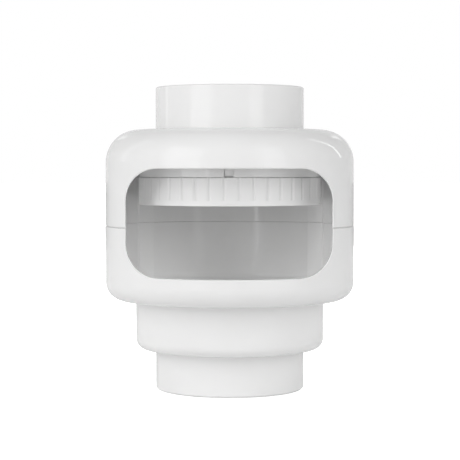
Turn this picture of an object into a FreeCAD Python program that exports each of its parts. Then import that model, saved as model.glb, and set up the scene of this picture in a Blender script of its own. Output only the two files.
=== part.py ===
"""Tank air gap fitting: a white moulded housing in two halves, with a screened inlet.

Water comes in at the socket on top, falls through the insect screen, crosses the open
gap behind the window and leaves by the socket underneath. All sizes are millimetres.
The frame has +Z up, its origin at the centre of the bottom rim, and the window at -Y.
"""
import FreeCAD, Part
import math
import os
import Sketcher

# Driving sizes. Each is set once here and reaches the pieces through the sheet.
DRIVING = {
    # Pipe sockets, above and below
    "pipe_radius": 45.0,
    "pipe_clearance": 0.2,
    "socket_wall": 2.8,
    "stop_width": 2.8,
    "inlet_length": 27.4,
    "outlet_length": 26.4,
    # Housing
    "wall": 3.0,
    "body_radius": 80.65,
    "mould_draft": 0.3,
    "upper_height": 62.0,
    "lower_height": 47.8,
    "shoulder_round": 21.0,
    "heel_round": 11.5,
    "step_radius": 61.0,
    "step_height": 31.8,
    "step_round": 6.5,
    "crease_bevel": 0.5,
    "top_rim_bevel": 0.7,
    "bottom_rim_bevel": 1.2,
    "bore_bevel": 0.4,
    # A bevel that is this share of a round's radius touches the round at its middle
    "bevel_share": 0.586,
    # Parting joint between the two halves; the sweeps are in degrees
    "tongue_width": 0.8,
    "tongue_height": 1.6,
    "tongue_sweep": 236.0,
    "groove_overrun": 2.0,
    "joint_clearance": 0.15,
    "seam_gap": 0.5,
    "seam_depth": 0.5,
    "seam_step": 0.2,
    "seam_bevel": 0.3,
    # Window in the front wall
    "window_half_width": 64.1,
    "window_bottom": 76.2,
    "window_top": 142.9,
    "window_top_corner": 20.3,
    "window_bottom_corner": 20.6,
    "window_edge_bevel": 0.6,
    # Flat pads inside the back wall; bearing in degrees
    "pad_bearing": 48.9,
    "pad_width": 13.6,
    "pad_thickness": 1.0,
    # Collar that hangs from the ceiling, with its notches
    "collar_radius": 59.0,
    "collar_wall": 2.6,
    "collar_length": 27.3,
    "notch_width": 5.8,
    "notch_height": 5.5,
    # Screen ring, the lip inside the collar and the barbs that click into the notches
    "ring_gap": 0.2,
    "ring_height": 17.7,
    "ring_wall": 2.6,
    "ring_foot_bevel": 0.3,
    "ring_top_bevel": 0.2,
    "lip_height": 6.0,
    "lip_wall": 2.4,
    "lip_clearance": 0.3,
    "barb_count": 3.0,
    "barb_lift": 1.1,
    "barb_setback": 1.5,
    "barb_play_left": 0.25,
    "barb_play_right": 0.1,
    "web_thickness": 3.4,
    "web_width": 3.2,
    "flute_count": 40.0,
    "flute_width": 3.2,
    "flute_depth": 0.45,
    "flute_foot": 3.4,
    "flute_phase": 6.0,
    # Insect screen
    "screen_thickness": 0.6,
    "screen_edge": 2.6,
    "screen_clearance": 0.05,
}

# Radii and levels that follow from the driving sizes.
WORKED_OUT = {
    "base": "0",
    "bore_radius": "pipe_radius + pipe_clearance",
    "socket_radius": "bore_radius + socket_wall",
    "stop_radius": "bore_radius - stop_width",
    "step_floor": "outlet_length",
    "step_floor_top": "step_floor + wall",
    "step_radius_low": "step_radius - mould_draft",
    "step_inner": "step_radius - wall",
    "step_inner_low": "step_inner - mould_draft",
    "body_floor": "step_floor + step_height",
    "body_floor_top": "body_floor + wall",
    "seam": "body_floor + lower_height",
    "body_top": "seam + upper_height",
    "ceiling": "body_top - wall",
    "inlet_top": "body_top + inlet_length",
    "upper_radius": "body_radius - seam_step",
    "inner_radius": "body_radius - wall",
    "body_radius_end": "body_radius - mould_draft",
    "inner_radius_end": "inner_radius - mould_draft",
    "shoulder_fit": "min(shoulder_round; body_radius_end - socket_radius - crease_bevel)",
    "heel_fit": "min(heel_round; body_radius_end - step_radius - crease_bevel)",
    "step_fit": "min(step_round; step_radius_low - socket_radius - crease_bevel)",
    "inner_shoulder_bevel": "(shoulder_fit - wall) * bevel_share",
    "inner_heel": "heel_fit - wall",
    "inner_step_bevel": "(step_fit - wall) * bevel_share",
    "seam_cut_top": "seam + seam_gap",
    "seam_cut_inner": "inner_radius + seam_depth",
    "seam_cut_outer": "body_radius - seam_depth",
    "clear_of_body": "body_radius + wall",
    "clear_of_wall": "inner_radius - wall",
    "tongue_inner": "inner_radius + (wall - tongue_width) / 2",
    "tongue_outer": "tongue_inner + tongue_width",
    "tongue_top": "seam + tongue_height",
    "groove_inner": "tongue_inner - joint_clearance",
    "groove_outer": "tongue_outer + joint_clearance",
    "groove_top": "tongue_top + joint_clearance",
    "groove_sweep": "tongue_sweep + groove_overrun",
    "pad_face": "inner_radius_end - pad_thickness",
    "pad_root": "inner_radius + (wall - tongue_width) / 8",
    "pad_half_width": "pad_width / 2",
    "pad_half_root": "pad_half_width + pad_root - pad_face",
    "upper_pad_top": "body_top - shoulder_round",
    "lower_pad_foot": "body_floor + heel_round",
    "upper_pad_height": "upper_pad_top - seam_cut_top",
    "lower_pad_height": "seam - lower_pad_foot",
    "collar_inner": "collar_radius - collar_wall",
    "collar_root": "ceiling + wall / 2",
    "collar_foot": "ceiling - collar_length",
    "notch_half_width": "notch_width / 2",
    "notch_foot": "collar_foot - ring_gap",
    "notch_top": "collar_foot + notch_height",
    "ring_top": "collar_foot - ring_gap",
    "ring_foot": "ring_top - ring_height",
    "ring_inner": "collar_radius - ring_wall",
    "lip_outer": "collar_inner - lip_clearance",
    "lip_inner": "lip_outer - lip_wall",
    "lip_top": "ring_top + lip_height",
    "web_foot": "ring_top - web_thickness",
    "web_inner": "lip_inner - web_width",
    "barb_root": "lip_outer - lip_wall / 2",
    "barb_radius": "collar_radius - barb_setback",
    "barb_left": "notch_half_width - barb_play_left",
    "barb_right": "notch_half_width - barb_play_right",
    "barb_foot": "ring_top + barb_lift",
    "barb_height": "notch_top - lip_clearance - barb_foot",
    "flute_length": "ring_height - flute_foot",
    "flute_root": "collar_radius - flute_depth",
    "flute_mouth": "collar_radius + flute_depth",
    "screen_radius": "web_inner + screen_edge",
    "screen_foot": "web_foot + (web_thickness - screen_thickness) / 2",
    "screen_top": "screen_foot + screen_thickness",
    "slot_radius": "screen_radius + screen_clearance",
    "slot_foot": "screen_foot - screen_clearance",
    "slot_top": "screen_top + screen_clearance",
}

# How near a point must be to a circle or a level to lie on it.
TOUCH = 0.01

doc = FreeCAD.newDocument("tank_air_gap")
sheet = doc.addObject("Spreadsheet::Sheet", "Sizes")


def fill_sheet():
    """Write every size into the sheet: column A its name, column B its value."""
    rows = [(name, str(value)) for name, value in DRIVING.items()]
    rows += [(name, "=" + formula) for name, formula in WORKED_OUT.items()]
    for row, (name, value) in enumerate(rows, start=1):
        sheet.set(f"A{row}", name)
        sheet.setAlias(f"B{row}", name)
        sheet.set(f"B{row}", value)
    doc.recompute()


def size(name):
    """Read one size from the sheet, negative if its name has a minus sign."""
    if name.startswith("-"):
        return -size(name[1:])
    return float(getattr(sheet, name))


def bind(feature, prop, name):
    """Tie a property of a feature to a size in the sheet."""
    feature.setExpression(prop, f"Sizes.{name}")


def new_body(label):
    """Add an empty body under the label that its node keeps."""
    body = doc.addObject("PartDesign::Body", label)
    body.Label = label
    return body


def origin_feature(body, role):
    """Find one of the body's own origin planes or axes."""
    return next(item for item in body.Origin.OriginFeatures if item.Role == role)


def new_sketch(body, name, plane="XZ_Plane", height=None):
    """Attach a sketch to an origin plane, raised to a level of the sheet if one is given."""
    sketch = body.newObject("Sketcher::SketchObject", name)
    sketch.AttachmentSupport = (origin_feature(body, plane), [""])
    sketch.MapMode = "FlatFace"
    if height:
        bind(sketch, "AttachmentOffset.Base.z", height)
    return sketch


def hold(sketch, kind, line, name):
    """Hold one coordinate of a line's first point at a size of the sheet."""
    index = sketch.addConstraint(Sketcher.Constraint(kind, -1, 1, line, 1, size(name)))
    minus = "-" if name.startswith("-") else ""
    sketch.setExpression(f"Constraints[{index}]", f"{minus}Sizes.{name.lstrip('-')}")


def outline(sketch, points):
    """Draw a closed outline through points, each a pair of size names."""
    spots = [FreeCAD.Vector(size(across), size(along), 0) for across, along in points]
    following = spots[1:] + spots[:1]
    for spot, next_spot in zip(spots, following):
        sketch.addGeometry(Part.LineSegment(spot, next_spot))
    count = len(points)
    for index in range(count):
        sketch.addConstraint(Sketcher.Constraint("Coincident", index, 2, (index + 1) % count, 1))
    for index, (across, along) in enumerate(points):
        hold(sketch, "DistanceX", index, across)
        hold(sketch, "DistanceY", index, along)
    return sketch


def revolve(body, sketch, name, kind="PartDesign::Revolution", sweep=None):
    """Turn a sketch about its own upright axis, all round or evenly to both sides."""
    feature = body.newObject(kind, name)
    feature.Profile = sketch
    feature.ReferenceAxis = (sketch, ["V_Axis"])
    feature.Angle = 360.0
    if sweep:
        feature.Midplane = True
        bind(feature, "Angle", sweep)
    sketch.Visibility = False
    doc.recompute()
    return feature


def cut(body, sketch, name, length=None, forward=False):
    """Cut a sketch down, or forward to the front, and make sure that something was cut."""
    before = body.Shape.Volume
    pocket = body.newObject("PartDesign::Pocket", name)
    pocket.Profile = sketch
    pocket.Reversed = forward
    if length:
        pocket.Type = "Length"
        bind(pocket, "Length", length)
    else:
        pocket.Type = "ThroughAll"
    sketch.Visibility = False
    doc.recompute()
    if body.Shape.Volume > before - TOUCH:
        raise RuntimeError(f"{name} cuts nothing")
    return pocket


def repeat_round(body, feature, name, count):
    """Copy a feature evenly about the upright axis."""
    pattern = body.newObject("PartDesign::PolarPattern", name)
    pattern.Originals = [feature]
    pattern.Axis = (origin_feature(body, "Z_Axis"), [""])
    pattern.Angle = 360.0
    bind(pattern, "Occurrences", count)
    body.Tip = pattern
    doc.recompute()


def spots_along(edge):
    """Give three points well inside an edge."""
    length = edge.LastParameter - edge.FirstParameter
    return [edge.valueAt(edge.FirstParameter + part * length) for part in (0.1, 0.5, 0.9)]


def matching_edges(shape, matches):
    """Name the edges whose points all pass a test of radius, level and position."""
    return [
        f"Edge{index}"
        for index, edge in enumerate(shape.Edges, start=1)
        if all(matches(math.hypot(spot.x, spot.y), spot.z, spot) for spot in spots_along(edge))
    ]


def dress(body, kind, name, circles, width):
    """Round or bevel the edges on each circle, given by the names of its radius and level."""
    base = body.Tip
    edges = []
    for across, along in circles:
        radius, level = size(across), size(along)
        edges += matching_edges(
            base.Shape, lambda r, z, spot: abs(r - radius) < TOUCH and abs(z - level) < TOUCH
        )
    feature = body.newObject("PartDesign::" + kind, name)
    feature.Base = (base, edges)
    bind(feature, "Radius" if kind == "Fillet" else "Size", width)
    doc.recompute()


def window_outline(body):
    """Draw the window with its rounded corners on the middle plane."""
    sketch = new_sketch(body, "window_outline")
    half, foot, head = size("window_half_width"), size("window_bottom"), size("window_top")
    low, high = size("window_bottom_corner"), size("window_top_corner")
    vector = FreeCAD.Vector
    sides = [
        (vector(-half + low, foot), vector(half - low, foot)),
        (vector(half, foot + low), vector(half, head - high)),
        (vector(half - high, head), vector(-half + high, head)),
        (vector(-half, head - high), vector(-half, foot + low)),
    ]
    for start, end in sides:
        sketch.addGeometry(Part.LineSegment(start, end))
    corners = [
        (vector(half - low, foot + low), "window_bottom_corner", 270),
        (vector(half - high, head - high), "window_top_corner", 0),
        (vector(-half + high, head - high), "window_top_corner", 90),
        (vector(-half + low, foot + low), "window_bottom_corner", 180),
    ]
    for side, (centre, radius, start) in enumerate(corners):
        circle = Part.Circle(centre, vector(0, 0, 1), size(radius))
        arc = Part.ArcOfCircle(circle, math.radians(start), math.radians(start + 90))
        corner = sketch.addGeometry(arc)
        sketch.addConstraint(Sketcher.Constraint("Tangent", side, 2, corner, 1))
        sketch.addConstraint(Sketcher.Constraint("Tangent", corner, 2, (side + 1) % len(sides), 1))
        index = sketch.addConstraint(Sketcher.Constraint("Radius", corner, size(radius)))
        bind(sketch, f"Constraints[{index}]", radius)
    hold(sketch, "DistanceY", 0, "window_bottom")
    hold(sketch, "DistanceX", 1, "window_half_width")
    hold(sketch, "DistanceY", 2, "window_top")
    hold(sketch, "DistanceX", 3, "-window_half_width")
    return sketch


def cut_window(body):
    """Cut this half's share of the window and bevel its outer edge, but not at the seam."""
    pocket = cut(body, window_outline(body), "window", forward=True)
    skin = size("body_radius") - size("wall") / 2
    reach = size("window_half_width") + TOUCH
    foot = size("window_bottom") - TOUCH
    head = size("window_top") + TOUCH
    seam = size("seam")
    edges = matching_edges(
        pocket.Shape,
        lambda r, z, spot: r > skin and spot.y < 0 and abs(spot.x) < reach
        and foot < z < head and abs(z - seam) > TOUCH,
    )
    bevel = body.newObject("PartDesign::Chamfer", "window_edge")
    bevel.Base = (pocket, edges)
    bind(bevel, "Size", "window_edge_bevel")
    doc.recompute()


def add_wall_pads(body, foot, height):
    """Thicken the back wall in two flat upright pads with sloping sides, one to each side."""
    sketch = new_sketch(body, "pad_section", "XY_Plane", foot)
    bind(sketch, "AttachmentOffset.Rotation.Angle", "pad_bearing")
    outline(sketch, [
        ("-pad_half_width", "pad_face"),
        ("pad_half_width", "pad_face"),
        ("pad_half_root", "pad_root"),
        ("-pad_half_root", "pad_root"),
    ])
    pad = body.newObject("PartDesign::Pad", "wall_pad")
    pad.Profile = sketch
    bind(pad, "Length", height)
    doc.recompute()
    mirror = body.newObject("PartDesign::Mirrored", "wall_pads")
    mirror.Originals = [pad]
    mirror.MirrorPlane = (origin_feature(body, "YZ_Plane"), [""])
    body.Tip = mirror
    doc.recompute()


def make_upper_housing():
    """Inlet socket, shoulder, upper wall with the head of the window, and the screen collar."""
    body = new_body("upper_housing")
    shell = outline(new_sketch(body, "shell_section"), [
        ("stop_radius", "ceiling"),
        ("stop_radius", "body_top"),
        ("bore_radius", "body_top"),
        ("bore_radius", "inlet_top"),
        ("socket_radius", "inlet_top"),
        ("socket_radius", "body_top"),
        ("body_radius_end", "body_top"),
        ("upper_radius", "seam"),
        ("inner_radius", "seam"),
        ("inner_radius_end", "ceiling"),
    ])
    revolve(body, shell, "shell")
    dress(body, "Fillet", "shoulder", [("body_radius_end", "body_top")], "shoulder_fit")
    dress(body, "Chamfer", "inner_shoulder", [("inner_radius_end", "ceiling")], "inner_shoulder_bevel")
    dress(body, "Chamfer", "crease", [("socket_radius", "body_top")], "crease_bevel")
    dress(body, "Chamfer", "rim", [("socket_radius", "inlet_top")], "top_rim_bevel")
    dress(body, "Chamfer", "lead_in", [("bore_radius", "inlet_top")], "bore_bevel")
    cut_window(body)
    for name, inner, outer in (
        ("outer_seam", "seam_cut_outer", "clear_of_body"),
        ("inner_seam", "clear_of_wall", "seam_cut_inner"),
    ):
        rebate = outline(new_sketch(body, name + "_section"), [
            (inner, "base"), (outer, "base"), (outer, "seam_cut_top"), (inner, "seam_cut_top"),
        ])
        revolve(body, rebate, name, "PartDesign::Groove")
    groove = outline(new_sketch(body, "groove_section", "YZ_Plane"), [
        ("groove_inner", "base"),
        ("groove_outer", "base"),
        ("groove_outer", "groove_top"),
        ("groove_inner", "groove_top"),
    ])
    revolve(body, groove, "joint_groove", "PartDesign::Groove", "groove_sweep")
    add_wall_pads(body, "seam_cut_top", "upper_pad_height")
    collar = outline(new_sketch(body, "collar_section"), [
        ("collar_inner", "collar_foot"),
        ("collar_radius", "collar_foot"),
        ("collar_radius", "collar_root"),
        ("collar_inner", "collar_root"),
    ])
    revolve(body, collar, "collar")
    notch = outline(new_sketch(body, "notch_outline"), [
        ("-notch_half_width", "notch_foot"),
        ("notch_half_width", "notch_foot"),
        ("notch_half_width", "notch_top"),
        ("-notch_half_width", "notch_top"),
    ])
    repeat_round(body, cut(body, notch, "notch", "collar_radius", forward=True), "notches", "barb_count")
    return body


def make_lower_housing():
    """Lower wall with the foot of the window, the bowl's step and the outlet socket."""
    body = new_body("lower_housing")
    shell = outline(new_sketch(body, "shell_section"), [
        ("bore_radius", "base"),
        ("socket_radius", "base"),
        ("socket_radius", "step_floor"),
        ("step_radius_low", "step_floor"),
        ("step_radius", "body_floor"),
        ("body_radius_end", "body_floor"),
        ("body_radius", "seam"),
        ("inner_radius", "seam"),
        ("inner_radius_end", "body_floor_top"),
        ("step_inner", "body_floor_top"),
        ("step_inner_low", "step_floor_top"),
        ("stop_radius", "step_floor_top"),
        ("stop_radius", "step_floor"),
        ("bore_radius", "step_floor"),
    ])
    revolve(body, shell, "shell")
    dress(body, "Fillet", "heel", [("body_radius_end", "body_floor")], "heel_fit")
    dress(body, "Fillet", "inner_heel_round", [("inner_radius_end", "body_floor_top")], "inner_heel")
    dress(body, "Fillet", "step", [("step_radius_low", "step_floor")], "step_fit")
    dress(body, "Chamfer", "inner_step", [("step_inner_low", "step_floor_top")], "inner_step_bevel")
    creases = [("step_radius", "body_floor"), ("socket_radius", "step_floor")]
    dress(body, "Chamfer", "creases", creases, "crease_bevel")
    dress(body, "Chamfer", "rim", [("socket_radius", "base")], "bottom_rim_bevel")
    dress(body, "Chamfer", "lead_in", [("bore_radius", "base")], "bore_bevel")
    cut_window(body)
    joint = [("body_radius", "seam"), ("inner_radius", "seam")]
    dress(body, "Chamfer", "joint_edges", joint, "seam_bevel")
    tongue = outline(new_sketch(body, "tongue_section", "YZ_Plane"), [
        ("tongue_inner", "lower_pad_foot"),
        ("tongue_outer", "lower_pad_foot"),
        ("tongue_outer", "tongue_top"),
        ("tongue_inner", "tongue_top"),
    ])
    revolve(body, tongue, "joint_tongue", sweep="tongue_sweep")
    add_wall_pads(body, "lower_pad_foot", "lower_pad_height")
    return body


def make_screen_ring():
    """Fluted retainer with a lip inside the collar, three barbs, and a web for the screen."""
    body = new_body("screen_ring")
    section = outline(new_sketch(body, "ring_section"), [
        ("ring_inner", "ring_foot"),
        ("collar_radius", "ring_foot"),
        ("collar_radius", "ring_top"),
        ("lip_outer", "ring_top"),
        ("lip_outer", "lip_top"),
        ("lip_inner", "lip_top"),
        ("lip_inner", "ring_top"),
        ("web_inner", "ring_top"),
        ("web_inner", "slot_top"),
        ("slot_radius", "slot_top"),
        ("slot_radius", "slot_foot"),
        ("web_inner", "slot_foot"),
        ("web_inner", "web_foot"),
        ("ring_inner", "web_foot"),
    ])
    revolve(body, section, "ring")
    dress(body, "Chamfer", "foot", [("collar_radius", "ring_foot")], "ring_foot_bevel")
    crisp = [("collar_radius", "ring_top"), ("lip_outer", "lip_top")]
    dress(body, "Chamfer", "upper_edges", crisp, "ring_top_bevel")
    barb_outline = outline(new_sketch(body, "barb_outline", "XY_Plane", "barb_foot"), [
        ("-barb_left", "-barb_root"),
        ("barb_right", "-barb_root"),
        ("barb_right", "-barb_radius"),
        ("-barb_left", "-barb_radius"),
    ])
    barb = body.newObject("PartDesign::Pad", "barb")
    barb.Profile = barb_outline
    bind(barb, "Length", "barb_height")
    doc.recompute()
    repeat_round(body, barb, "barbs", "barb_count")
    # The sketch of a flute starts as far outside the skin as it goes in, so it is twice as wide there
    flute = new_sketch(body, "flute_outline", "XY_Plane", "ring_top")
    bind(flute, "AttachmentOffset.Rotation.Angle", "flute_phase")
    outline(flute, [
        ("-flute_width", "-flute_mouth"),
        ("flute_width", "-flute_mouth"),
        ("base", "-flute_root"),
    ])
    repeat_round(body, cut(body, flute, "flute", "flute_length"), "flutes", "flute_count")
    return body


def make_insect_screen():
    """Disc of woven stainless wire, held by its edge in the slot of the ring's web."""
    body = new_body("insect_screen")
    sketch = outline(new_sketch(body, "disc_section"), [
        ("base", "screen_foot"),
        ("screen_radius", "screen_foot"),
        ("screen_radius", "screen_top"),
        ("base", "screen_top"),
    ])
    revolve(body, sketch, "disc")
    return body


def export(pieces):
    """Write one STEP file for each piece, once every object and every shape is sound."""
    for item in doc.Objects:
        if "Invalid" in item.State or "Error" in item.State:
            raise RuntimeError(f"{item.Label}: {item.State}")
    for piece in pieces:
        shape = piece.Shape
        if shape.isNull() or not shape.isValid() or len(shape.Solids) != 1:
            raise RuntimeError(f"{piece.Label} is not one sound solid")
    os.makedirs("parts", exist_ok=True)
    for piece in pieces:
        piece.Shape.exportStep(f"parts/{piece.Label}.step")
        box = piece.Shape.BoundBox
        print(f"{piece.Label}: {piece.Shape.Volume:.0f} mm3, z {box.ZMin:.2f} to {box.ZMax:.2f}")


fill_sheet()
export([make_upper_housing(), make_lower_housing(), make_screen_ring(), make_insect_screen()])
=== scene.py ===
import bpy
import math
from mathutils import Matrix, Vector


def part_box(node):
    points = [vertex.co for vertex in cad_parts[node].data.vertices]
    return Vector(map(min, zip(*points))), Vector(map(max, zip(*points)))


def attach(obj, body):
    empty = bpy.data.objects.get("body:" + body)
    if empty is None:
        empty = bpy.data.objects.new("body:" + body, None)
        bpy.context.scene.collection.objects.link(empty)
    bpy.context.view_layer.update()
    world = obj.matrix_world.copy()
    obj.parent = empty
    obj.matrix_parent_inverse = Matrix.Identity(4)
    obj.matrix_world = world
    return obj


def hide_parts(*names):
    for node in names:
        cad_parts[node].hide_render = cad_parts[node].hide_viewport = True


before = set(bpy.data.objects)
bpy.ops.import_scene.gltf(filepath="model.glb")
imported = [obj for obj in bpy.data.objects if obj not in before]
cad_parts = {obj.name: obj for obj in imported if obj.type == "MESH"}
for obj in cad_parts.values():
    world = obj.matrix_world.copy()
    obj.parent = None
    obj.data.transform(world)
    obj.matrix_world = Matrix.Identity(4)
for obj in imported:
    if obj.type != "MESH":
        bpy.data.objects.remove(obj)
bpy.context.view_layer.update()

# Camera. The photograph was taken with a long lens from just above the window's head,
# about a metre in front of the fitting and a little to its right, looking slightly down.
VIEW_DISTANCE = 0.9867
VIEW_ASIDE = 0.0093
EYE_HEIGHT = 0.1441
LOOK_DOWN = math.radians(2.386)
LOOK_ASIDE = math.radians(0.53)
SENSOR_WIDTH = 36.0
LENS = 118.7
FARTHEST_SEEN = 60.0

camera = bpy.data.cameras.new("camera")
camera.sensor_width = SENSOR_WIDTH
camera.lens = LENS
camera.clip_end = FARTHEST_SEEN
viewpoint = bpy.data.objects.new("camera", camera)
viewpoint.location = (VIEW_ASIDE, -VIEW_DISTANCE, EYE_HEIGHT)
viewpoint.rotation_euler = (math.pi / 2 - LOOK_DOWN, 0, LOOK_ASIDE)
bpy.context.scene.collection.objects.link(viewpoint)
bpy.context.scene.camera = viewpoint
bpy.context.scene.view_settings.view_transform = "Standard"

# Studio. A pale room with a tall softbox to each side of the camera and fill lamps all round,
# over a white floor that takes the fitting's soft shadow. The gloss shows the two softboxes,
# three narrow strips and the room, which is palest right behind the fitting. The four greys in
# the gloss and the floor's were fitted to how bright the photograph is. The softboxes and the
# fills to both sides started from such a fit and were then changed.
ROOM_LIGHT = 0.25
ROOM_IN_GLOSS = [
    # place from the camera's side at 0 to the far side at 1, grey
    (0.25, 0.316),
    (0.5, 0.162),
    (0.75, 0.25),
    (1.0, 0.786),
]
FLOOR_WIDTH = 24.0
FLOOR_WHITE = 0.9
FLOOR_LIFT = (0.62, 1.03)
FLOOR_LIFT_REACH = (0.3, 1.6)
FLOOR_IN_GLOSS = 0.235
LAMP_DISTANCE = 1.5
STUDIO_LAMPS = [
    # name, bearing from the camera's side, width, length, height, watts, seen in the gloss
    ("left_softbox", -44, 1.03, 1.5, 0.75, 6.0, True),
    ("right_softbox", 41, 0.64, 1.56, 0.73, 3.7, True),
    ("low_strip", -27, 0.09, 0.2, 0.1, 0.13, True),
    ("left_strip", -112, 0.16, 1.35, 0.825, 0.75, True),
    ("right_strip", 122, 0.08, 1.2, 0.9, 0.9, True),
    ("left_fill", -28, 0.4, 1.5, 0.75, 3.2, False),
    ("far_left_fill", -54, 0.4, 1.5, 0.75, 3.6, False),
    ("right_fill", 35, 0.4, 1.5, 0.75, 2.4, False),
    ("far_right_fill", 60, 0.4, 1.5, 0.75, 4.2, False),
    ("left_side_fill", -90, 0.4, 1.5, 0.75, 3.6, False),
    ("right_side_fill", 90, 0.4, 1.5, 0.75, 1.3, False),
    ("back_fill", 180, 0.5, 1.5, 0.75, 6.0, False),
]
# Weak lamps inside the body make up for light that the studio lamps don't bring in, and that
# the real plastic may let through. Their places were chosen one by one. Their powers were fitted
# to how bright the photograph is behind the window, rounded and partly changed.
INSIDE_LAMPS = [
    # name, place, bearing that it shines to, size, watts
    ("low_lamp", (0, 0, 0.071), 0, (0.120, 0.008), 0.0062),
    ("low_back_lamp", (0, 0.040, 0.065), 0, (0.100, 0.005), 0.0021),
    ("low_left_lamp", (-0.035, 0.030, 0.065), 40, (0.050, 0.005), 0.0006),
    ("left_lamp", (-0.070, -0.010, 0.100), -90, (0.030, 0.060), 0.0018),
    ("right_lamp", (0.070, -0.010, 0.100), 90, (0.030, 0.060), 0.0010),
    ("left_wall_lamp", (-0.050, 0.030, 0.105), 54, (0.008, 0.070), 0.0005),
    ("right_wall_lamp", (0.050, 0.030, 0.105), -54, (0.008, 0.070), 0.0013),
    ("left_ring_lamp", (-0.068, -0.030, 0.145), -60, (0.012, 0.040), 0.0006),
    ("right_ring_lamp", (0.068, -0.030, 0.140), 60, (0.012, 0.050), 0.0010),
]


class Plug:
    """An output of a shader node. Sums and comparisons on it add Math nodes."""

    def __init__(self, tree, socket=None):
        self.tree = tree
        self.socket = socket

    def node(self, kind, settings=None, inputs=None, output=0):
        """Add a node, set it up, feed its inputs and give back one of its outputs."""
        made = self.tree.nodes.new(kind)
        for name, value in (settings or {}).items():
            if name == "stops":
                self.set_stops(made.color_ramp, value)
            else:
                setattr(made, name, value)
        for name, value in (inputs or {}).items():
            if isinstance(value, Plug):
                self.tree.links.new(value.socket, made.inputs[name])
            else:
                made.inputs[name].default_value = value
        return Plug(self.tree, made.outputs[output] if len(made.outputs) else None)

    @staticmethod
    def set_stops(ramp, stops):
        """Give a ramp its stops, each a position and a grey level."""
        while len(ramp.elements) < len(stops):
            ramp.elements.new(0.5)
        for element, (position, level) in zip(ramp.elements, stops):
            element.position = position
            element.color = (level, level, level, 1)

    def maths(self, operation, *values):
        return self.node("ShaderNodeMath", {"operation": operation}, dict(enumerate(values)))

    def __add__(self, other):
        return self.maths("ADD", self, other)

    def __sub__(self, other):
        return self.maths("SUBTRACT", self, other)

    def __rsub__(self, other):
        return self.maths("SUBTRACT", other, self)

    def __mul__(self, other):
        return self.maths("MULTIPLY", self, other)

    def __gt__(self, other):
        return self.maths("GREATER_THAN", self, other)

    def __lt__(self, other):
        return self.maths("LESS_THAN", self, other)

    def __abs__(self):
        return self.maths("ABSOLUTE", self)

    __radd__ = __add__
    __rmul__ = __mul__


def new_tree(owner):
    """Empty an owner's node tree and wrap it."""
    owner.use_nodes = True
    owner.node_tree.nodes.clear()
    return Plug(owner.node_tree)


world = bpy.data.worlds.new("room")
bpy.context.scene.world = world
room = new_tree(world)
camera_ray = room.node("ShaderNodeLightPath", output="Is Camera Ray")
glossy_ray = room.node("ShaderNodeLightPath", output="Is Glossy Ray")
direction = room.node("ShaderNodeTexCoord", output="Generated")
backwards = room.node("ShaderNodeSeparateXYZ", inputs={"Vector": direction}, output="Y")
mirrored = room.node("ShaderNodeValToRGB", {"stops": ROOM_IN_GLOSS}, {"Fac": backwards * 0.5 + 0.5})
strength = camera_ray + glossy_ray * mirrored + (1 - camera_ray) * (1 - glossy_ray) * ROOM_LIGHT
backdrop = room.node("ShaderNodeBackground", inputs={"Color": (1, 1, 1, 1), "Strength": strength})
room.node("ShaderNodeOutputWorld", inputs={"Surface": backdrop})

bpy.ops.object.select_all(action="DESELECT")
bpy.ops.mesh.primitive_plane_add(size=FLOOR_WIDTH)
floor = bpy.context.active_object
floor.name = "floor"
floor_paint = bpy.data.materials.new("floor_paint")
paint = new_tree(floor_paint)
flat_white = paint.node("ShaderNodeBsdfDiffuse", inputs={
    "Color": (FLOOR_WHITE, FLOOR_WHITE, FLOOR_WHITE, 1)
})
place = paint.node("ShaderNodeTexCoord", output="Object")
distance = paint.node("ShaderNodeVectorMath", {"operation": "LENGTH"}, {0: place}, output="Value")
lift = paint.node("ShaderNodeMapRange", inputs={
    "Value": distance, "From Min": FLOOR_LIFT_REACH[0], "From Max": FLOOR_LIFT_REACH[1],
    "To Min": FLOOR_LIFT[0], "To Max": FLOOR_LIFT[1],
})
seen_directly = paint.node("ShaderNodeLightPath", output="Is Camera Ray")
seen_in_gloss = paint.node("ShaderNodeLightPath", output="Is Glossy Ray")
seen = seen_directly + seen_in_gloss * FLOOR_IN_GLOSS
glow = paint.node("ShaderNodeEmission", inputs={"Color": (1, 1, 1, 1), "Strength": seen * lift})
lifted = paint.node("ShaderNodeAddShader", inputs={0: flat_white, 1: glow})
paint.node("ShaderNodeOutputMaterial", inputs={"Surface": lifted})
floor.data.materials.append(floor_paint)


def add_lamp(name, spot, turn, size, watts):
    """Hang a rectangular lamp that the camera doesn't see."""
    lamp = bpy.data.lights.new(name, "AREA")
    lamp.shape = "RECTANGLE"
    lamp.size, lamp.size_y = size
    lamp.energy = watts
    box = bpy.data.objects.new(name, lamp)
    box.location = spot
    box.rotation_euler = turn
    box.visible_camera = False
    bpy.context.scene.collection.objects.link(box)
    return box


for name, bearing, width, length, height, watts, in_gloss in STUDIO_LAMPS:
    turn = math.radians(bearing)
    spot = (math.sin(turn) * LAMP_DISTANCE, -math.cos(turn) * LAMP_DISTANCE, height)
    tilt = math.atan2(height - EYE_HEIGHT, LAMP_DISTANCE)
    box = add_lamp(name, spot, (math.pi / 2 - tilt, 0, turn), (width, length), watts)
    box.visible_glossy = in_gloss
for name, spot, bearing, size, watts in INSIDE_LAMPS:
    box = add_lamp(name, spot, (math.pi / 2, 0, math.radians(bearing)), size, watts)
    box.visible_glossy = False
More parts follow.
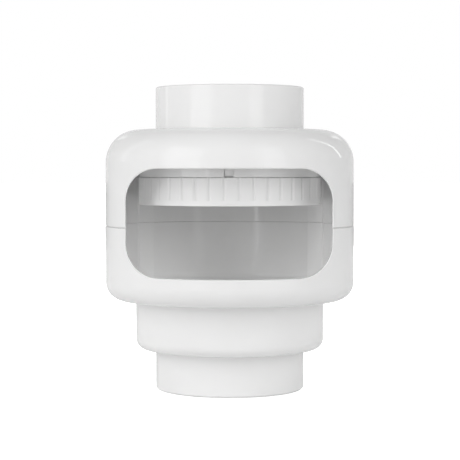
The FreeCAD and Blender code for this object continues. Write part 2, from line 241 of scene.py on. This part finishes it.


# Housing. Two injection mouldings in glossy white plastic, joined at a seam round the middle
# whose rounded lips leave a hairline, bumped in as a groove and darkened by painted shade. The
# skin has a faint ripple from the mould, the upper half has the higher polish, and two thicker
# pads inside the back wall are painted a little paler, as painted light.
MOULDED_WHITE = (0.881, 0.88, 0.878, 1)
UPPER_ROUGHNESS = 0.04
LOWER_ROUGHNESS = 0.12
RIPPLE_SCALE = 60.0
RIPPLE_DETAIL = 2.0
RIPPLE_HEIGHT = 0.00003
RIPPLE_SHADE = 0.97
GRAIN_SCALE = 1800.0
GRAIN_DETAIL = 3.0
GRAIN_HEIGHT = 0.000001
GRAIN_ROUGHNESS = 0.04
HALF_WALL = 0.0015
# The seam's hairline is a bump groove plus painted shade in the colour.
SEAM_REACH = 0.0006
SEAM_DEPTH = 0.0003
SEAM_PAINTED_SHADE = 0.86
# The pads are painted paler: painted light, as if more light falls on them.
PAD_BEARING = math.radians(48.9)
PAD_HALF_WIDTH = 0.0076
PAD_EDGE = 0.0005
PAD_NEAREST = 0.070
PAD_PAINTED_LIGHT = 1.042


def shaded(share):
    """Give the moulded white at a share of its brightness."""
    return tuple(share * part for part in MOULDED_WHITE[:3]) + (1,)


def mixed(shader, mask, first, second):
    """Go from one colour to another where a mask goes from 0 to 1."""
    inputs = {0: mask, 6: first, 7: second}
    return shader.node("ShaderNodeMix", {"data_type": "RGBA"}, inputs, output=2)


def apart(shader, place):
    """Split a place into how far it lies across, deep and high."""
    return [
        shader.node("ShaderNodeSeparateXYZ", inputs={"Vector": place}, output=axis)
        for axis in ("X", "Y", "Z")
    ]


def fade(shader, value, reach):
    """Fall from 1 where a value is 0 to 0 where it passes a reach."""
    return shader.node("ShaderNodeMapRange", inputs={
        "Value": value, "From Min": 0.0, "From Max": reach, "To Min": 1.0, "To Max": 0.0
    })


def outer_skin(shader, place, outside):
    """1 on the skin of a round piece, 0 on whatever lies further in."""
    level = shader.node("ShaderNodeVectorMath", {"operation": "MULTIPLY"}, {0: place, 1: (1, 1, 0)})
    radius = shader.node("ShaderNodeVectorMath", {"operation": "LENGTH"}, {0: level}, output="Value")
    return radius > outside - HALF_WALL


def seam_groove_and_shade_mask(shader, place):
    """1 along the seam on the outer skin, falling to 0 a little above and below it."""
    low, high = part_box("upper_housing")
    height = apart(shader, place)[2]
    return fade(shader, abs(height - low[2]), SEAM_REACH) * outer_skin(shader, place, high[0])


def wall_pads(shader, place):
    """1 on the two pads inside the back wall, each at the same bearing from the middle."""
    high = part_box("upper_housing")[1]
    across, deep, _ = apart(shader, place)
    outward = abs(across) * math.sin(PAD_BEARING) + deep * math.cos(PAD_BEARING)
    beside = abs(across) * math.cos(PAD_BEARING) - deep * math.sin(PAD_BEARING)
    on_pad = fade(shader, abs(beside) - PAD_HALF_WIDTH, PAD_EDGE)
    return on_pad * (outward > PAD_NEAREST) * (outward < high[0] - HALF_WALL)


def mark_housing(shader, place, tone, skin):
    """Groove the seam and darken it with painted shade, and make the pads paler with painted light.
    """
    seam = seam_groove_and_shade_mask(shader, place)
    # Painted shade along the seam.
    tone = mixed(shader, seam, tone, shaded(SEAM_PAINTED_SHADE))
    # Painted light: the pads are made paler.
    tone = mixed(shader, wall_pads(shader, place), tone, shaded(PAD_PAINTED_LIGHT))
    skin = shader.node("ShaderNodeBump", inputs={
        "Height": 1 - seam, "Distance": SEAM_DEPTH, "Normal": skin
    })
    return tone, skin


def moulded_plastic(name, roughness, add_marks):
    """White moulded plastic with a faint ripple and a fine grain, and a piece's own marks."""
    material = bpy.data.materials.new(name)
    shader = new_tree(material)
    place = shader.node("ShaderNodeTexCoord", output="Object")
    ripple = shader.node("ShaderNodeTexNoise", inputs={
        "Vector": place, "Scale": RIPPLE_SCALE, "Detail": RIPPLE_DETAIL
    })
    grain = shader.node("ShaderNodeTexNoise", inputs={
        "Vector": place, "Scale": GRAIN_SCALE, "Detail": GRAIN_DETAIL
    })
    plain = mixed(shader, ripple, MOULDED_WHITE, shaded(RIPPLE_SHADE))
    waves = shader.node("ShaderNodeBump", inputs={"Height": ripple, "Distance": RIPPLE_HEIGHT})
    grained = shader.node("ShaderNodeBump", inputs={
        "Height": grain, "Distance": GRAIN_HEIGHT, "Normal": waves
    })
    tone, skin = add_marks(shader, place, plain, grained)
    surface = shader.node("ShaderNodeBsdfPrincipled", inputs={
        "Base Color": tone,
        "Roughness": grain * GRAIN_ROUGHNESS + roughness,
        "Normal": skin,
    })
    shader.node("ShaderNodeOutputMaterial", inputs={"Surface": surface})
    return material


for name, roughness in (("upper_housing", UPPER_ROUGHNESS), ("lower_housing", LOWER_ROUGHNESS)):
    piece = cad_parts[name]
    piece.data.materials.clear()
    piece.data.materials.append(moulded_plastic(name + "_plastic", roughness, mark_housing))


# Screen ring. A fluted retainer moulded in the same white, with a softer sheen, pushed up into
# the collar that hangs from the housing's ceiling. Painted shade darkens the roots of its flutes,
# and painted shade lies along the gap over its top edge, most of all at both sides.
RING_ROUGHNESS = 0.37
FLUTE_COUNT = 40
FLUTE_PHASE = 6.0
# The flute roots and the gap over the top edge are darkened by painted shade.
FLUTE_LINE_REACH = 0.1
FLUTE_PAINTED_SHADE = 0.15
FLUTE_FOOT = 0.0036
SKIRT_HEIGHT = 0.0177
GAP_REACH = 0.0006
GAP_FULL_DARK = 0.048
RING_PAINTED_SHADE = 0.45


def flute_roots(shader, across, deep):
    """1 in the root of each flute, falling to 0 beside it."""
    turn = across.maths("ARCTAN2", across, deep * -1)
    count = turn * (FLUTE_COUNT / (2 * math.pi)) + (0.5 - FLUTE_PHASE * FLUTE_COUNT / 360)
    beside = count.maths("FRACT", count) - 0.5
    return fade(shader, abs(beside), FLUTE_LINE_REACH)


def mark_ring(shader, place, tone, skin):
    """Darken the flute roots a little with painted shade, and the top edge in full with painted
    shade where it is far to one side.
    """
    low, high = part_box("screen_ring")
    across, deep, height = apart(shader, place)
    # Painted shade in the flute roots.
    flute_shade = flute_roots(shader, across, deep) * (height > low[2] + FLUTE_FOOT) * FLUTE_PAINTED_SHADE
    top_edge = fade(shader, abs(height - (low[2] + SKIRT_HEIGHT)), GAP_REACH)
    # Painted shade along the gap over the top edge, fuller towards both sides.
    gap_shade = top_edge * (abs(across) * (1 / GAP_FULL_DARK))
    painted_shade = (flute_shade + gap_shade) * outer_skin(shader, place, high[0])
    return mixed(shader, painted_shade, tone, shaded(RING_PAINTED_SHADE)), skin


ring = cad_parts["screen_ring"]
ring.data.materials.clear()
ring.data.materials.append(moulded_plastic("ring_plastic", RING_ROUGHNESS, mark_ring))


# Insect screen. Fine stainless wire woven over and under, cut to a disc and held by its edge
# in the ring. One crossing of four wires is modelled, then repeated across the disc.
WIRE_PITCH = 0.0014
WIRE_THICK = 0.00027
WIRE_WAVE = 0.00015
WEAVE_CELLS = 38
WEAVE_RADIUS = 0.0526
DRAWN_SCALE = 420.0
DRAWN_DETAIL = 2.0
DRAWN_ROUGHNESS = 0.2
STEEL_ROUGHNESS = 0.25
STEEL_PALE = (0.66, 0.66, 0.65, 1)
STEEL_DARK = (0.55, 0.55, 0.54, 1)


def select_points(mesh, wanted):
    """In edit mode, select just the vertices whose place passes a test."""
    bpy.ops.object.mode_set(mode="OBJECT")
    for point in mesh.vertices:
        point.select = wanted(point.co)
    for edge in mesh.edges:
        edge.select = all(mesh.vertices[index].select for index in edge.vertices)
    for face in mesh.polygons:
        face.select = all(mesh.vertices[index].select for index in face.vertices)
    bpy.ops.object.mode_set(mode="EDIT")


def add_wire(height, place, across, wave):
    """Lay one short wire along X, or along Y if it goes across, and bend it over and under."""
    bpy.ops.object.select_all(action="DESELECT")
    middle = (place, WIRE_PITCH, height) if across else (WIRE_PITCH, place, height)
    bpy.ops.mesh.primitive_cylinder_add(
        vertices=4,
        radius=WIRE_THICK / math.sqrt(2),
        depth=2 * WIRE_PITCH,
        end_fill_type="NOTHING",
        location=middle,
        rotation=(math.pi / 2, 0, 0) if across else (0, math.pi / 2, 0),
    )
    piece = bpy.context.active_object
    bpy.ops.object.transform_apply(location=True, rotation=True, scale=True)
    bpy.ops.object.mode_set(mode="EDIT")
    bpy.ops.mesh.select_all(action="SELECT")
    bpy.ops.transform.rotate(
        value=math.pi / 4, orient_axis="Y" if across else "X", center_override=middle
    )
    bpy.ops.object.mode_set(mode="OBJECT")
    mesh = piece.data
    axis = 1 if across else 0
    for edge in mesh.edges:
        first, second = (mesh.vertices[index].co[axis] for index in edge.vertices)
        edge.select = abs(first - second) > WIRE_PITCH
    bpy.ops.object.mode_set(mode="EDIT")
    bpy.ops.mesh.select_mode(type="EDGE")
    bpy.ops.mesh.subdivide(number_cuts=1)
    bpy.ops.mesh.select_mode(type="VERT")
    select_points(mesh, lambda spot: abs(spot[axis] - WIRE_PITCH) < WIRE_PITCH / 2)
    bpy.ops.transform.translate(value=(0, 0, -wave))
    bpy.ops.mesh.select_all(action="INVERT")
    bpy.ops.transform.translate(value=(0, 0, wave))
    bpy.ops.object.mode_set(mode="OBJECT")
    return piece


low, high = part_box("insect_screen")
level = (low[2] + high[2]) / 2
crossing = [
    add_wire(level, 0, False, WIRE_WAVE),
    add_wire(level, WIRE_PITCH, False, -WIRE_WAVE),
    add_wire(level, 0, True, -WIRE_WAVE),
    add_wire(level, WIRE_PITCH, True, WIRE_WAVE),
]
bpy.ops.object.select_all(action="DESELECT")
for piece in crossing:
    piece.select_set(True)
bpy.context.view_layer.objects.active = crossing[0]
bpy.ops.object.join()
weave = bpy.context.active_object
weave.name = "woven_screen"
for axis in range(2):
    spread = weave.modifiers.new("spread", "ARRAY")
    spread.count = WEAVE_CELLS
    spread.use_relative_offset = False
    spread.use_constant_offset = True
    spread.constant_offset_displace = [2 * WIRE_PITCH if side == axis else 0 for side in range(3)]
    spread.use_merge_vertices = True
    spread.merge_threshold = WIRE_THICK / 20
    bpy.ops.object.modifier_apply(modifier=spread.name)
half = WEAVE_CELLS * WIRE_PITCH - WIRE_PITCH / 2
bpy.ops.object.mode_set(mode="EDIT")
bpy.ops.mesh.select_all(action="SELECT")
bpy.ops.transform.translate(value=(-half, -half, 0))
select_points(weave.data, lambda spot: math.hypot(spot[0], spot[1]) > WEAVE_RADIUS)
bpy.ops.mesh.delete(type="VERT")
bpy.ops.mesh.select_all(action="SELECT")
bpy.ops.mesh.delete_loose(use_verts=True, use_edges=True, use_faces=False)
bpy.ops.mesh.select_all(action="SELECT")
bpy.ops.mesh.fill_holes(sides=0)
bpy.ops.mesh.select_all(action="SELECT")
bpy.ops.mesh.normals_make_consistent(inside=False)
bpy.ops.object.mode_set(mode="OBJECT")
bpy.ops.object.transform_apply(location=True, rotation=True, scale=True)

screen_wire = bpy.data.materials.new("screen_wire")
wire = new_tree(screen_wire)
place = wire.node("ShaderNodeTexCoord", output="Object")
drawn = wire.node("ShaderNodeTexNoise", inputs={
    "Vector": place, "Scale": DRAWN_SCALE, "Detail": DRAWN_DETAIL
})
surface = wire.node("ShaderNodeBsdfPrincipled", inputs={
    "Base Color": mixed(wire, drawn, STEEL_PALE, STEEL_DARK),
    "Metallic": 1.0,
    "Roughness": drawn * DRAWN_ROUGHNESS + STEEL_ROUGHNESS,
})
wire.node("ShaderNodeOutputMaterial", inputs={"Surface": surface})
weave.data.materials.clear()
weave.data.materials.append(screen_wire)
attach(weave, "root")
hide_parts("insect_screen")
